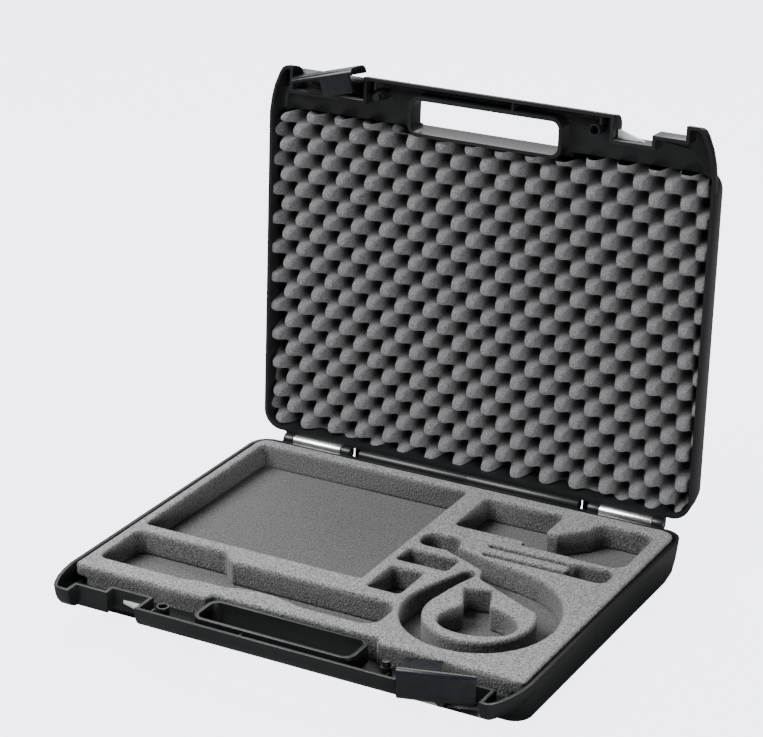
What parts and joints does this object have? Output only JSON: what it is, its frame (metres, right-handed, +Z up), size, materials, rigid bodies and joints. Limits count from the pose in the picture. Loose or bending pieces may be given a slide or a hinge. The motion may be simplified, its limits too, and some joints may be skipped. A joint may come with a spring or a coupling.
{
  "type": "foam-lined carrying case",
  "caption": "Flat moulded carrying case with a built-in handle, rocker latches, a hinged lid, die-cut foam pockets in the base and egg-crate foam in the lid.",
  "frame": {"origin": "middle of the base's flat bottom face", "axes": "+X along the hinge axis, to the right of someone facing the handle side; -Y towards the handle; +Z up"},
  "size_m": [0.44, 0.4332, 0.4153],
  "materials": {
    "shell_plastic": "fine-textured satin black",
    "latch_plastic": "smooth glossy black",
    "base_foam": "open-cell foam, cut faces, mid grey",
    "lid_foam": "open-cell egg-crate foam, grey",
    "keeper_plastic": "pale grey moulded plastic",
    "hinge_aluminium": "bright drawn tube",
    "pin_steel": "plain ground steel"
  },
  "bodies": {
    "base": {"base_shell": "shell_plastic", "die_cut_foam": "base_foam", "foam_floor_sheet": "base_foam", "base_latch_pin": "pin_steel", "base_keeper": "keeper_plastic", "left_hinge_pin": "pin_steel", "right_hinge_pin": "pin_steel", "left_hinge_sleeve": "hinge_aluminium", "right_hinge_sleeve": "hinge_aluminium"},
    "lid": {"lid_shell": "shell_plastic", "convoluted_foam": "lid_foam", "lid_latch_pin": "pin_steel", "lid_keeper": "keeper_plastic"},
    "base_latch": {"base_latch": "latch_plastic"},
    "lid_latch": {"lid_latch": "latch_plastic"}
  },
  "joints": [
    {"name": "lid_hinge", "type": "hinge", "parent": "base", "child": "lid", "pos_m": [0, 0.1622, 0.044], "axis": [1, 0, 0], "range_deg": [0, 93.4]},
    {"name": "base_latch_pivot", "type": "hinge", "parent": "base", "child": "base_latch", "pos_m": [0.16, -0.194, 0.044], "axis": [0, 0, 1], "range_deg": [-15.5, 0]},
    {"name": "lid_latch_pivot", "type": "hinge", "parent": "lid", "child": "lid_latch", "pos_m": [-0.16, 0.18332, 0.39957], "axis": [0, -0.9982, 0.0593], "range_deg": [-15.5, 0]}
  ]
}
